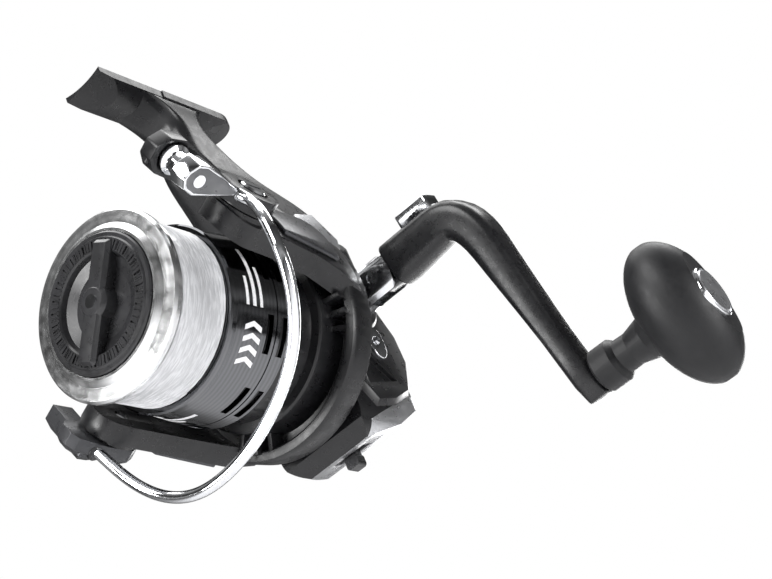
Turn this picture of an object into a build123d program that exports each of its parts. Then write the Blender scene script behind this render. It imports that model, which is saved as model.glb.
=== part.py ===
"""Spinning reel, millimetres.

Shapes are drawn in the spool frame: X forward along the spool axis, Z up to the rod,
Y to the handle side, origin at the middle of the spool lip. save() moves each one to the
row frame, whose origin is the middle of the foot's saddle.
"""
import math
import os
from build123d import *

os.makedirs("parts", exist_ok=True)

# ---- driving dimensions ------------------------------------------------------------
LIP_X = 54.0            # spool lip ahead of the foot's middle
AXIS_DROP = 86.0        # rod seat to spool axis
RUN = 0.05              # radial running clearance

SHAFT_R = 2.0           # main shaft
SPOOL_R = 26.0          # spool lip
ARBOR_R = 17.5          # spool arbor under the line
LINE_R = 24.2           # full line
SKIRT_END = -42.5       # rear edge of the spool skirt
SKIRT_R = 27.2
SLOTS = 8               # drain slots round each of the skirt's two rows
SLOT_ARC = 23.0         # degrees

BAR_TURN = 34.0         # drag knob's bar from +Z towards +Y at rest
ARM_AZ = 23.0           # bail arm azimuth from +Y towards +Z
ARM_IN = 30.5           # rotor arm inner and outer radius
ARM_OUT = 36.5
PIVOT_X = -26.0         # bail pivot along the spool axis
ROLLER_X = 0.6          # line roller's axis, in the arm's frame
ROLLER_Z = 42.0
BAND_R = 34.8           # rotor's rear band

DRIVE_X = -83.6         # handle shaft
DRIVE_Z = 5.5
DRIVE_R = 3.0
PINION_TEETH = 7
GEAR_TEETH = 32
MESH_X = 15.2           # mesh ahead of the handle shaft
OSC_X = -93.5           # crosswind crank gear
OSC_Z = -4.96
CRANK_R = 7.5           # its pin, so the spool strokes twice this
PIN_AHEAD = 3.5         # its pin ahead of its axis at rest
BLOCK_REAR = -92.6      # rear of the crosswind block and the main shaft

SIDE = 16.0             # half width of the body
BADGE_X = -90.5         # oval badge on the side cover
BADGE_Z = -5.5
LEVER_Z = -27.0         # anti-reverse lever's pin
LEVER_PIN_R = 1.25
FOLD_Y = 33.0           # fold hinge of the handle
CRANK_DX = -14.0        # knob axis from the drive axis
CRANK_DZ = -58.5
CRANK = math.hypot(CRANK_DX, CRANK_DZ)
CRANK_TILT = math.degrees(math.atan2(-CRANK_DX, -CRANK_DZ))


# ---- helpers -----------------------------------------------------------------------
def turned(*points):
    """Solid of revolution about X from (x, r) points."""
    face = Plane.XZ * make_face(Polyline(*points, close=True))
    return revolve(face, Axis.X, 360)


def xcyl(r, x0, x1, y=0.0, z=0.0):
    return Pos((x0 + x1) / 2, y, z) * Rot(0, 90, 0) * Cylinder(r, abs(x1 - x0))


def ycyl(r, y0, y1, x=0.0, z=0.0):
    return Pos(x, (y0 + y1) / 2, z) * Rot(90, 0, 0) * Cylinder(r, abs(y1 - y0))


def zcyl(r, z0, z1, x=0.0, y=0.0):
    return Pos(x, y, (z0 + z1) / 2) * Cylinder(r, abs(z1 - z0))


def box(x0, x1, y0, y1, z0, z1):
    return Pos((x0 + x1) / 2, (y0 + y1) / 2, (z0 + z1) / 2) * Box(x1 - x0, y1 - y0, z1 - z0)


def side_prism(points, y0, y1):
    """Outline of (x, z) points drawn in the side view, from y0 to y1."""
    face = Plane(origin=(0, y1, 0), x_dir=(1, 0, 0), z_dir=(0, -1, 0)) * make_face(
        Polyline(*points, close=True)
    )
    return extrude(face, amount=y1 - y0)


def arm_frame(shape, turn=0.0):
    """From the arm's own frame (Z outward, Y to the wire side) to its azimuth."""
    return Rot(X=ARM_AZ - 90 + turn) * shape


def drive_frame(shape):
    """From a frame on the handle shaft, with -Z along the crank arm, to its place."""
    return Pos(DRIVE_X, 0, DRIVE_Z) * Rot(Y=CRANK_TILT) * shape


def largest(shape):
    """The one piece that is kept where a cut leaves crumbs."""
    return max(shape.solids(), key=lambda s: s.volume)


def save(shape, node):
    solids = list(shape.solids())
    whole = solids[0] if len(solids) == 1 else Compound(children=solids)
    export_step(Pos(LIP_X, 0, -AXIS_DROP) * whole, f"parts/{node}.step")
    print(node, len(solids), round(sum(s.volume for s in solids), 1))


# ---- spool -------------------------------------------------------------------------
def spool_body():
    barrel = turned(
        (-3.6, 15.0), (-3.6, ARBOR_R), (-20.3, ARBOR_R), (-20.5, 25.6), (-21.0, 26.1),
        (-22.6, 26.1), (-23.0, 25.8), (-30.0, 26.3), (SKIRT_END + 0.5, SKIRT_R),
        (SKIRT_END, SKIRT_R - 0.4), (SKIRT_END, 25.8), (-24.0, 24.3), (-22.8, 23.4),
        (-22.8, 8.0), (-26.0, 8.0), (-26.0, SHAFT_R + RUN), (-14.5, SHAFT_R + RUN), (-14.5, 15.0),
    )
    for x in (-35.0, -40.0):
        window = Plane.XZ * make_face(
            Polyline((x - 1.1, 22), (x + 1.1, 22), (x + 1.1, 29), (x - 1.1, 29), close=True)
        )
        for k in range(SLOTS):
            start = k * 360 / SLOTS - 128.5 - SLOT_ARC / 2
            barrel -= Rot(X=start) * revolve(window, Axis.X, SLOT_ARC)
    groove = turned((-37.6, 26.5), (-37.6, 29), (-37.2, 29), (-37.2, 26.5))
    return barrel - groove


def spool_lip():
    return turned(
        (-3.55, ARBOR_R - 2.5), (-3.5, 23.6), (-3.3, 23.8), (-2.0, 26.0), (-0.8, SPOOL_R),
        (0.0, 25.3), (0.3, 21.9), (1.7, 20.2), (1.7, 19.5), (-2.2, 19.5), (-2.2, 15.0),
    )


def line_winding():
    return turned(
        (-3.8, ARBOR_R), (-3.8, LINE_R - 0.5), (-5.5, LINE_R), (-18.5, LINE_R),
        (-20.1, LINE_R - 0.4), (-20.1, ARBOR_R),
    )


def stack(radius, first, count, pitch, thick, bore):
    discs = []
    for k in range(count):
        x = first + k * pitch
        discs.append(xcyl(radius, x, x + thick) - xcyl(bore, x - 1, x + thick + 1))
    return Compound(children=discs)


def line_clip():
    clip = Pos(-26.5, 0, 26.9) * Box(5.0, 7.0, 1.2)
    clip = fillet(clip.edges().filter_by(Axis.Z), 2.2)
    return Rot(X=70) * (clip - turned((-40, 0), (-40, 26.9), (-20, 26.35), (-20, 0)))


save(spool_body(), "spool")
save(spool_lip(), "spool_lip")
save(line_winding(), "line_winding")
save(stack(13.8, -14.4, 3, 2.2, 0.9, 2.4), "drag_washers")
save(stack(14.3, -13.3, 3, 2.2, 0.9, 3.0), "drag_felts")
retainer = Plane.XZ * Pos(-6.0, 14.5) * Circle(0.45)
save(revolve(retainer, Axis.X, 340), "drag_retainer")
save(line_clip(), "line_clip")


# ---- drag knob ---------------------------------------------------------------------
def drag_knob():
    cap = turned(
        (-1.9, 5.5), (-1.9, 18.6), (-1.5, 19.2), (2.0, 19.2), (2.4, 18.8), (2.4, 17.8),
        (2.9, 17.4), (2.9, 14.2), (2.4, 13.8), (1.0, 13.2), (0.2, 10.0), (0.2, 0.0),
        (-0.9, 0.0), (-0.9, SHAFT_R + RUN), (-3.2, SHAFT_R + RUN), (-3.2, 4.2), (-5.8, 4.2),
        (-5.8, 5.5),
    )
    for k in range(60):
        notch = Rot(X=k * 6) * box(2.5, 3.2, -0.25, 0.25, 14.6, 17.0)
        cap -= notch
    return cap


def drag_bar():
    bar = box(0.2, 4.4, -3.3, 3.3, -16.6, 16.6)
    bar = fillet(bar.edges().filter_by(Axis.X), 1.2)
    bar = chamfer(bar.faces().sort_by(Axis.X)[-1].edges(), 1.0)
    boss = turned((0.2, 0), (0.2, 5.2), (3.6, 4.8), (4.6, 3.6), (4.6, 0))
    trim = turned(
        (-1, 0), (-1, 13.1), (0.9, 13.1), (2.3, 13.7), (2.95, 14.1), (2.95, 20), (9, 20), (9, 0),
    )
    return Rot(X=-BAR_TURN) * ((bar & trim) + boss) - drag_knob()


def knob_hub():
    return xcyl(1.9, 4.62, 4.95)


save(drag_knob(), "drag_knob")
save(drag_bar(), "drag_knob_bar")
save(knob_hub(), "drag_knob_pin")
nut = extrude(Plane.YZ.offset(-6.2) * RegularPolygon(4.1, 6), amount=3.0)
save(nut - xcyl(SHAFT_R + RUN, -8, -1), "drag_nut")
coil = Helix(pitch=1.5, height=3.6, radius=7.2, direction=(1, 0, 0), center=(-6.9, 0, 0))
wire = Plane(origin=coil @ 0, z_dir=coil % 0) * Circle(0.4)
save(sweep(wire, path=coil, is_frenet=True), "drag_spring")


# ---- main shaft and crosswind ------------------------------------------------------
def crosswind_block():
    block = box(BLOCK_REAR, -86.0, -2.5, 4.8, -15.2, 0.0)
    block = fillet(block.edges().filter_by(Axis.Y), 1.0)
    block -= xcyl(SHAFT_R, -95, -85)
    slot = box(-91.7, -88.3, 2.2, 5.5, -13.8, 2.6)
    return block - slot - box(-91.7, -88.3, 2.2, 5.5, -3.0, 1.0)


def click_gear():
    wheel = xcyl(7.0, -28.4, -26.4) - xcyl(SHAFT_R, -30, -25)
    for k in range(20):
        wheel -= Rot(X=k * 18) * xcyl(0.6, -29, -26, z=7.1)
    return wheel


save(xcyl(SHAFT_R, BLOCK_REAR, -1.2), "main_shaft")
save(crosswind_block(), "crosswind_block")
save(click_gear(), "click_gear")


# ---- rotor -------------------------------------------------------------------------
def rotor_arm():
    shell = turned(
        (-66, ARM_IN), (-66, ARM_OUT - 1.7), (-58, ARM_OUT), (-15, ARM_OUT), (-15, ARM_IN),
    )
    outline = Polyline(
        (-66, -17.5), (-60, -16.8), (-48, -12.5), (-36, -10.2), (-26, -9.4), (-26, 9.4), (-36, 10.2),
        (-48, 12.5), (-60, 16.8), (-66, 17.5), close=True,
    )
    blank = extrude(make_face(outline), amount=45) + zcyl(9.4, 0, 45, x=PIVOT_X)
    pocket = turned((-54, 33.6), (-54, 40), (-36, 40), (-36, 33.6))
    window = extrude(
        make_face(Polyline((-54, -9), (-37, -6.5), (-37, 6.5), (-54, 9), close=True)), amount=45
    )
    arm = (shell & blank) - (pocket & window)
    arm += zcyl(7.8, 33, 37.0, x=PIVOT_X)
    return arm - zcyl(SHAFT_R + RUN, 20, 50, x=PIVOT_X)


def rotor():
    hub = turned(
        (-47.0, 3.6), (-47.0, 21.4), (-35.4, 21.7), (-35.0, 22.1), (-35.0, 23.2), (-35.4, 23.6),
        (-55.0, 23.8), (-55.4, 26.2), (-56.0, 26.8), (-65.0, 27.2), (-65.5, 31.0), (-61.0, 31.2),
        (-60.2, 32.0), (-60.6, 34.2), (-62.0, BAND_R), (-69.0, BAND_R - 0.6), (-70.0, 33.4),
        (-70.0, 31.6), (-67.5, 31.0), (-67.5, 24.6), (-57.5, 24.2), (-56.5, 20.0), (-49.6, 19.0),
        (-49.6, 9.0), (-58.0, 8.6), (-58.0, 4.5), (-57.0, 4.5), (-57.0, 3.6),
    )
    body = hub
    for turn in (0, 180):
        body += arm_frame(rotor_arm(), turn)
        for side in (-1, 1):
            for k in range(3):
                fin = box(-65.6, -57.5 - k * 1.4, -0.7, 0.7, 26.4, 32.5)
                body += arm_frame(Rot(X=side * (33 + 8 * k)) * fin, turn)
    for k in range(6):
        body -= Rot(X=k * 60 + 12) * xcyl(2.6, -46, -51, z=14.0)
    return body


def pinion():
    core = turned(
        (-42.5, SHAFT_R + 0.06), (-42.5, 3.6), (-57.0, 3.6), (-57.4, 4.4), (-64.0, 4.4),
        (-64.0, 2.75), (-72.5, 2.75), (-72.5, 3.0), (-77.0, 3.0), (-77.0, SHAFT_R + 0.06),
    )
    tooth = make_face(Polyline((-0.75, 2.5), (0.75, 2.5), (0.3, 4.05), (-0.3, 4.05), close=True))
    bar = extrude(Plane.YZ.offset(-72.5) * tooth, amount=8.5)
    for k in range(PINION_TEETH):
        core += Rot(X=90 + 180 / PINION_TEETH + k * 360 / PINION_TEETH) * bar
    return core - xcyl(SHAFT_R + 0.06, -80, -40)


def arm_cover():
    shell = turned((-57, ARM_OUT + 0.05), (-57, 37.6), (-37, 37.6), (-37, ARM_OUT + 0.05))
    outline = make_face(Polyline((-57, -12.5), (-37, -8.0), (-37, 8.0), (-57, 12.5), close=True))
    return shell & extrude(outline, amount=45)


save(rotor(), "rotor")
save(pinion(), "pinion")
rotor_nut = extrude(Plane.YZ.offset(-46.9) * RegularPolygon(6.5, 6), amount=3.2)
save(rotor_nut - xcyl(3.6, -50, -40), "rotor_nut")
covers = [arm_frame(arm_cover(), turn) for turn in (0, 180)]
save(Compound(children=covers), "arm_covers")


# ---- bail --------------------------------------------------------------------------
def bail_lever():
    boss = zcyl(8.0, 37.4, 42.6, x=PIVOT_X)
    plan = make_face(
        Polyline((-30, -7.2), (-8, -9.4), (3, -9.8), (6.6, -7.4), (6.6, -5.6), (-8, -4.6),
                 (-18, 4.4), (-24, 7.6), close=True)
    )
    web = Pos(0, 0, 38.0) * extrude(fillet(plan.vertices(), 0.7), amount=4.6)
    cheek = Plane(origin=(0, -4.2, 0), x_dir=(1, 0, 0), z_dir=(0, -1, 0)) * make_face(
        Polyline((-14, 38.0), (-2, 36.2), (4, 36.6), (7.0, 39.5), (7.2, 43.5), (4.4, 46.8), (-1, 47.6),
                 (-9, 45.4), (-18, 42.6), close=True)
    )
    hood = extrude(fillet(cheek.vertices(), 1.3), amount=5.0)
    lever = boss + web + hood
    lever -= zcyl(4.6, 41.4, 50, x=PIVOT_X)
    lever -= zcyl(SHAFT_R, 30, 50, x=PIVOT_X)
    return lever - ycyl(4.7, -4.9, 3, x=ROLLER_X, z=ROLLER_Z)


def roller_cover():
    outer = make_face(
        Polyline((5.4, 43.4), (3.4, 46.2), (0.0, 46.9), (-5.0, 45.9), (-13.6, 43.6), (-15.6, 42.2),
                 (-13.6, 41.0), (-5.0, 38.6), (0.6, 37.2), (4.2, 38.2), (5.8, 40.8), close=True)
    )
    near = Plane(origin=(0, 2.6, 0), x_dir=(1, 0, 0), z_dir=(0, -1, 0)) * outer
    far = Plane(origin=(0, 8.0, 0), x_dir=(1, 0, 0), z_dir=(0, -1, 0)) * scale(outer, by=0.9)
    far = Pos(-0.4, 0, 4.2) * far
    cover = loft([near.face(), far.face()])
    cover -= ycyl(1.0, 0, 12, x=ROLLER_X, z=ROLLER_Z)
    return cover - ycyl(1.9, 7.3, 12, x=ROLLER_X, z=ROLLER_Z)


def roller_pin():
    pin = ycyl(1.0, -4.6, 8.4, x=ROLLER_X, z=ROLLER_Z)
    return pin + ycyl(1.8, 7.3, 8.5, x=ROLLER_X, z=ROLLER_Z)


def roller():
    spin = Plane(origin=(ROLLER_X, 0, ROLLER_Z), x_dir=(0, 1, 0), z_dir=(1, 0, 0))
    face = spin * make_face(
        Polyline((-3.8, 1.05), (-3.8, 4.3), (-3.0, 4.3), (-2.2, 3.3), (0.6, 3.3), (1.5, 4.3),
                 (2.3, 4.3), (2.3, 1.05), close=True)
    )
    return revolve(face, Axis((ROLLER_X, 0, ROLLER_Z), (0, 1, 0)), 360)


WIRE = (
    (10, -14.5, 42.6), (16, -15.4, 44.2), (24, -13.0, 46.8), (36, -12.4, 49.2), (50, -15.0, 50.6),
    (66, -18.6, 50.4), (88, -21.8, 48.9), (110, -24.0, 48.4), (128, -24.9, 48.6), (143, -24.4, 46.8),
    (157, -22.0, 43.4), (167, -20.0, 41.0), (175, -19.0, 40.2),
)


def wire_path():
    points = []
    for angle, x, radius in WIRE:
        a = math.radians(angle)
        points.append((x, radius * math.sin(a), radius * math.cos(a)))
    return Spline(*points)


def bail_wire():
    path = wire_path()
    return sweep(Plane(origin=path @ 0, z_dir=path % 0) * Circle(1.65), path=path)


def wire_holder():
    plan = make_face(
        Polyline((-33.5, -4.6), (-30, -7.0), (-20, -6.6), (-12.5, -4.4), (-10.8, -2.0), (-10.8, 2.2),
                 (-13, 4.8), (-24, 6.4), (-30, 7.0), (-33.5, 4.6), close=True)
    )
    cap = Pos(0, 0, 37.4) * extrude(plan, amount=5.4)
    cap = chamfer(cap.faces().sort_by(Axis.Z)[-1].edges(), 1.6)
    socket = box(-21.8, -14.8, -4.8, 13.6, 38.0, 44.6)
    cap += chamfer(socket.faces().sort_by(Axis.Z)[-1].edges(), 1.9)
    cap -= zcyl(3.8, 41.4, 50, x=PIVOT_X)
    cap = cap - zcyl(SHAFT_R, 30, 50, x=PIVOT_X)
    return Rot(X=180) * cap


def bail_screw():
    head = zcyl(3.7, 41.5, 43.2, x=PIVOT_X)
    head = chamfer(head.faces().sort_by(Axis.Z)[-1].edges(), 0.5)
    head -= box(PIVOT_X - 2.6, PIVOT_X + 2.6, -0.45, 0.45, 42.5, 45)
    return head + zcyl(SHAFT_R, 31.0, 41.6, x=PIVOT_X)


holder = wire_holder()
lever = bail_lever()
cover = roller_cover()
bail = bail_wire() - cover - holder
save(arm_frame(lever - cover), "bail_lever")
save(arm_frame(cover), "roller_cover")
save(arm_frame(largest(bail)), "bail_wire")
save(arm_frame(holder), "wire_holder")
save(arm_frame(roller_pin()), "roller_pin")
save(arm_frame(roller()), "line_roller")
screws = [arm_frame(bail_screw(), turn) for turn in (0, 180)]
save(Compound(children=screws), "bail_screws")


# ---- housing -----------------------------------------------------------------------
OUTLINE = (
    (-71.5, 40.0), (-71.5, -33.0), (-76.0, -37.0), (-90.0, -33.0), (-99.5, -27.5), (-107.5, -13.0),
    (-108.0, -8.0), (-107.0, 1.0), (-103.6, 11.0), (-101.8, 17.0), (-101.0, 40.0),
)
STEM = (
    (84.4, -41.0, -68.0, 7.4, 3.0), (81.0, -49.0, -66.0, 7.4, 3.4), (77.0, -52.6, -67.0, 7.3, 3.8),
    (69.0, -53.4, -73.5, 7.6, 4.6), (60.0, -55.2, -85.0, 8.6, 5.6), (53.0, -60.5, -96.0, 10.6, 7.0),
    (46.0, -66.0, -101.0, 13.0, 8.4), (41.0, -69.5, -102.0, 14.8, 9.0), (36.0, -71.5, -101.5, 15.8, 9.0),
)


def stem():
    faces = []
    for z, front, rear, half, corner in STEM:
        rim = RectangleRounded(front - rear, 2 * half, corner)
        faces.append(Pos((front + rear) / 2, 0, z) * rim)
    return loft([f.face() for f in faces])


def foot():
    plan = box(-60, -24, -7.6, 7.6, 80, 92) + box(-76, -50, -8, 8, 80, 92) + zcyl(8, 80, 92, x=-76)
    saddle = xcyl(29.5, -90, -20, z=AXIS_DROP + 27) - xcyl(27, -95, -15, z=AXIS_DROP + 27)
    lens = side_prism(
        ((-24, 85.3), (-36, 83.4), (-72, 83.4), (-84, 85.3), (-84, 92), (-24, 92)), -10, 10
    )
    return plan & saddle & lens


def body_blank():
    outline = side_prism(OUTLINE, -SIDE, SIDE)
    end = Plane.YZ.offset(-115) * Pos(0, 1) * RectangleRounded(2 * SIDE, 78, 9)
    top = Pos(-80, 0, -45) * extrude(RectangleRounded(58, 2 * SIDE, 10), amount=100)
    return outline & extrude(end, amount=60) & top


def cavity():
    inner = side_prism(
        ((-73.4, 26), (-73.4, -31), (-77, -34), (-89, -30.4), (-97.5, -25.5), (-105.2, -12.4),
         (-105.6, -8), (-104.6, 1), (-101.4, 10.6), (-99.4, 17), (-99.0, 26)), -13.4, 13.0
    )
    end = Plane.YZ.offset(-115) * Pos(0, 1) * RectangleRounded(2 * SIDE - 4.6, 73, 7)
    return inner & extrude(end, amount=60)


def housing():
    body = body_blank() + stem() + foot()
    body += xcyl(23.4, -75, -63.5) + xcyl(14.0, -64, -52.0)
    body -= cavity()
    body -= xcyl(22.0, -77, -65.6)
    body -= xcyl(12.5, -58.4, -50.0)
    body -= xcyl(9.0, -62.0, -50.0)
    body -= xcyl(4.8, -70.0, -50.0)
    body -= side_prism(COVER, 12.9, 20)
    body -= ycyl(6.0, -14.5, -13.0, x=DRIVE_X, z=DRIVE_Z)
    body -= ycyl(3.4, -20, 0, x=DRIVE_X, z=DRIVE_Z)
    body -= cap_region()
    return body - xcyl(27, -95, -15, z=AXIS_DROP + 27)


def cap_region():
    split = ((-76.5, -45), (-76.5, -33.0), (-98.5, -22.5), (-115, -22.5), (-115, -45))
    return side_prism(split, -20, 20)


def bottom_cap():
    cap = (body_blank() - cavity()) & cap_region()
    cap += box(-88.5, -86.1, -3.2, 3.2, -32, -24.6) + box(-80.9, -78.5, -3.2, 3.2, -34, -24.6)
    cap -= xcyl(LEVER_PIN_R, -88.5, -78.5, z=LEVER_Z)
    return cap - box(-85.9, -81.1, -6.0, 6.0, -45, -28)


COVER = (
    (-76.0, 21.0), (-74.5, 14.0), (-74.5, -22.0), (-80.0, -29.0), (-90.0, -27.0), (-99.0, -22.5),
    (-104.6, -11.0), (-104.4, -1.0), (-99.5, 10.0), (-97.0, 21.0),
)


def side_cover():
    cover = side_prism(COVER, 13.0, 17.6)
    cover = chamfer(cover.faces().sort_by(Axis.Y)[-1].edges(), 1.6)
    recess = side_prism(((-79, -6), (-79, -22), (-94, -19)), 16.2, 20)
    boss = ycyl(9.5, 13.0, 21.6, x=DRIVE_X, z=DRIVE_Z)
    boss = chamfer(boss.faces().sort_by(Axis.Y)[-1].edges(), 1.0)
    cover = cover - recess + boss
    cover -= ycyl(6.6, 10, 19.6, x=DRIVE_X, z=DRIVE_Z)
    return cover - ycyl(DRIVE_R + 0.6, 10, 30, x=DRIVE_X, z=DRIVE_Z)


cover_plate = side_cover()
lower_cap = bottom_cap() - cover_plate
house = housing() - cover_plate
save(largest(house), "housing")
save(cover_plate, "side_cover")
save(largest(lower_cap), "bottom_cap")


def bearing(outer, inner, y0, y1):
    tube = ycyl(outer, y0, y1, x=DRIVE_X, z=DRIVE_Z)
    return tube - ycyl(inner, y0 - 1, y1 + 1, x=DRIVE_X, z=DRIVE_Z)


bearings = [
    bearing(6.6, DRIVE_R + RUN, 15.8, 19.5),
    bearing(6.0, DRIVE_R + RUN, -14.5, -11.6),
]
save(Compound(children=bearings), "drive_bearings")
save(xcyl(9.0, -62.0, -58.6) - xcyl(4.4 + RUN, -75, -50), "pinion_bearing")
save(xcyl(12.5, -58.4, -52.6) - xcyl(8.6 + 0.35, -75, -50), "anti_reverse_clutch")
port = ycyl(6.6, -17.6, -16.0, x=DRIVE_X, z=DRIVE_Z)
port = chamfer(port.faces().sort_by(Axis.Y)[0].edges(), 0.5)
save(port - Pos(DRIVE_X, 0, DRIVE_Z) * box(-4, 4, -18, -16.9, -0.6, 0.6), "handle_port_cap")
save(ycyl(1.5, 7.8, 12.95, x=OSC_X, z=OSC_Z), "crank_gear_axle")
flank = side_prism(((-74, 27), (-95, 25), (-97, 35), (-88, 43), (-80, 41)), 9.0, 17.0)
flank = chamfer(flank.faces().sort_by(Axis.Y)[-1].edges(), 0.8) - house
save(largest(flank), "flank_plate")
badge = Rot(90, 0, 0) * extrude(Ellipse(3.9, 6.4), amount=0.9, both=True)
badge = Pos(BADGE_X, 17.6, BADGE_Z) * badge - cover_plate
save(largest(badge - ycyl(1.2, 18.0, 19, x=BADGE_X, z=BADGE_Z)), "side_badge")


# ---- drive -------------------------------------------------------------------------
def toothed(teeth, root, tip, y0, y1, phase):
    wheel = ycyl(root, y0, y1)
    foot_z = root - 0.4
    profile = Polyline((-0.85, foot_z), (0.85, foot_z), (0.35, tip), (-0.35, tip), close=True)
    tooth = Plane(origin=(0, y1, 0), x_dir=(1, 0, 0), z_dir=(0, -1, 0)) * make_face(profile)
    tooth = extrude(tooth, amount=y1 - y0)
    for k in range(teeth):
        wheel += Rot(Y=phase + k * 360 / teeth) * tooth
    return wheel


def drive_gear():
    disc = ycyl(17.6, -7.6, -4.4) - ycyl(13.0, -5.4, -4.0)
    disc += ycyl(5.5, -11.2, -4.4)
    tooth = make_face(Polyline((-4.6, -0.62), (-4.6, 0.62), (-3.1, 0.3), (-3.1, -0.3), close=True))
    bar = extrude(Plane.YZ.offset(MESH_X - 2.6) * tooth, amount=5.2)
    bar = Pos(0, 0, -DRIVE_Z) * bar
    crown = disc
    for k in range(GEAR_TEETH):
        crown += Rot(Y=k * 360 / GEAR_TEETH) * bar
    crown = crown & ycyl(17.6, -12, 0)
    for k in range(5):
        crown -= Rot(Y=k * 72) * ycyl(2.4, -9, -3, x=9.2)
    return Pos(DRIVE_X, 0, DRIVE_Z) * (crown - ycyl(DRIVE_R, -20, 5))


save(drive_gear(), "drive_gear")
save(ycyl(DRIVE_R, -14.2, 24.0, x=DRIVE_X, z=DRIVE_Z), "drive_shaft")
bearing_angle = math.degrees(math.atan2(OSC_X - DRIVE_X, OSC_Z - DRIVE_Z))
small = toothed(12, 3.9, 5.45, 8.2, 11.2, bearing_angle) - ycyl(DRIVE_R, 0, 20)
save(Pos(DRIVE_X, 0, DRIVE_Z) * small, "crank_pinion")
large = toothed(24, 8.7, 10.25, 8.2, 11.2, bearing_angle + 180 + 7.5) - ycyl(1.5 + RUN, 0, 20)
pin_angle = math.acos(PIN_AHEAD / CRANK_R)
large += ycyl(1.5, 5.2, 8.4, x=CRANK_R * math.cos(pin_angle), z=-CRANK_R * math.sin(pin_angle))
save(Pos(OSC_X, 0, OSC_Z) * large, "crank_gear")


# ---- handle ------------------------------------------------------------------------
def knuckle():
    body = ycyl(6.3, 22.6, 29.0) + ycyl(5.4, 21.9, 23.0)
    body = body + (ycyl(6.3, 28.0, 39.2) & xcyl(6.1, -8, 8, y=FOLD_Y) + box(-7, 7, 26, 33, -6.3, 6.3))
    body -= box(-3.3, 3.3, 27.2, 45, -8, 8)
    body -= xcyl(2.0, -8, 8, y=FOLD_Y)
    return body - ycyl(DRIVE_R, 20, 24.0)


def handle_arm():
    profile = Plane.YZ * make_face(
        Polyline((38.5, 6.6), (48, 7.2), (60, 7.2), (66.0, 4.6), (69.0, -2.0), (70.2, -10), (73.6, -52),
                 (73.8, -67), (67.0, -67), (66.6, -52), (62.6, -16), (59.0, -9.0), (52.0, -7.2),
                 (38.5, -6.6), close=True)
    )
    bend = [v for v in profile.vertices() if v.Y > 55 and v.Z > -20]
    profile = fillet(bend, 3.4)
    slab = extrude(profile, amount=8, both=True)
    plan = Plane.XZ * make_face(
        Polyline((-6.6, 9), (6.6, 9), (6.6, -8), (4.6, -52), (4.6, -60), (-4.6, -60), (-4.6, -52),
                 (-6.6, -8), close=True)
    )
    blank = extrude(plan, amount=-90) + ycyl(6.4, 0, 90, z=-CRANK)
    arm = slab & blank
    arm -= xcyl(6.5, -10, 10, y=FOLD_Y)
    tongue = box(-3.0, 3.0, FOLD_Y, 40, -5.2, 5.2) + xcyl(5.2, -3, 3, y=FOLD_Y)
    arm += tongue
    arm -= xcyl(2.0 + RUN, -10, 10, y=FOLD_Y)
    arm -= box(-4.0, 4.0, 47.0, 59.4, 3.0, 10)
    return arm - ycyl(2.4, 60, 80, z=-CRANK)


def fold_button():
    button = box(-3.7, 3.7, 47.3, 59.1, 4.9, 10.8)
    button = fillet(button.edges().filter_by(Axis.Z), 1.0)
    return button


BULB_TILT = math.degrees(math.atan2(0.38, 0.925)) - CRANK_TILT


def knob_grip():
    slices = []
    for k in range(-6, 7):
        height = 21.4 * math.sin(math.radians(k * 13.5))
        radius = 12.0 * math.cos(math.radians(k * 13.5))
        slices.append((Pos(0, 0, height) * Circle(radius)).face())
    bulb = Pos(0, 103.0, 0) * Rot(Y=BULB_TILT) * loft(slices)
    face = make_face(
        Polyline((0, 74.2), (5.6, 74.2), (6.4, 75.0), (6.4, 80.6), (5.6, 81.6), (5.0, 82.2), (4.9, 86),
                 (6.2, 91), (9.0, 96), (9.0, 104), (0, 104), close=True)
    )
    neck = revolve(face, Axis.Y, 360)
    grip = neck + bulb
    grip -= box(-30, 30, 112.6, 130, -30, 30)
    grip -= ycyl(7.0, 110.8, 130)
    grip -= ycyl(3.6, 105.0, 130)
    return grip - ycyl(4.0, 70, 106)


def knob_cap():
    cap = ycyl(6.95, 110.85, 113.4)
    return chamfer(cap.faces().sort_by(Axis.Y)[-1].edges(), 0.7)


knob_place = Pos(0, 0, -CRANK)
save(drive_frame(knuckle()), "handle_knuckle")
save(drive_frame(handle_arm()), "handle_arm")
save(drive_frame(xcyl(2.0, -6.0, 6.0, y=FOLD_Y)), "fold_pin")
save(drive_frame(fold_button()), "fold_button")
shank = ycyl(2.4, 66.8, 106.6) + ycyl(3.3, 105.4, 108.4)
save(drive_frame(knob_place * shank), "knob_shaft")
save(drive_frame(knob_place * knob_grip()), "knob_grip")
sleeve_bore = ycyl(2.4 + RUN, 70, 110)
sleeves = [ycyl(3.98, 74.5, 80.0) - sleeve_bore, ycyl(3.98, 98, 105.0) - sleeve_bore]
save(drive_frame(knob_place * Compound(children=sleeves)), "knob_sleeves")
save(drive_frame(knob_place * knob_cap()), "knob_cap")


# ---- anti-reverse lever ------------------------------------------------------------
def reverse_lever():
    arm = box(-85, -82, -2.0, 2.0, -36, LEVER_Z) + xcyl(2.6, -85, -82, z=LEVER_Z)
    tip = box(-85.4, -81.6, -2.2, 2.2, -39.4, -35.6)
    tip = fillet(tip.edges().filter_by(Axis.X), 1.0)
    return arm + tip - xcyl(LEVER_PIN_R + RUN, -90, -70, z=LEVER_Z)


save(reverse_lever(), "anti_reverse_lever")
save(xcyl(LEVER_PIN_R, -88.5, -78.5, z=LEVER_Z), "reverse_lever_pin")
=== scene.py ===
"""Fixed-spool fishing reel: finishes, fine pieces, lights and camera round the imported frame."""

import logging
import math
from dataclasses import dataclass
from enum import Enum

import bmesh
import bpy
from mathutils import Matrix, Vector


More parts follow.
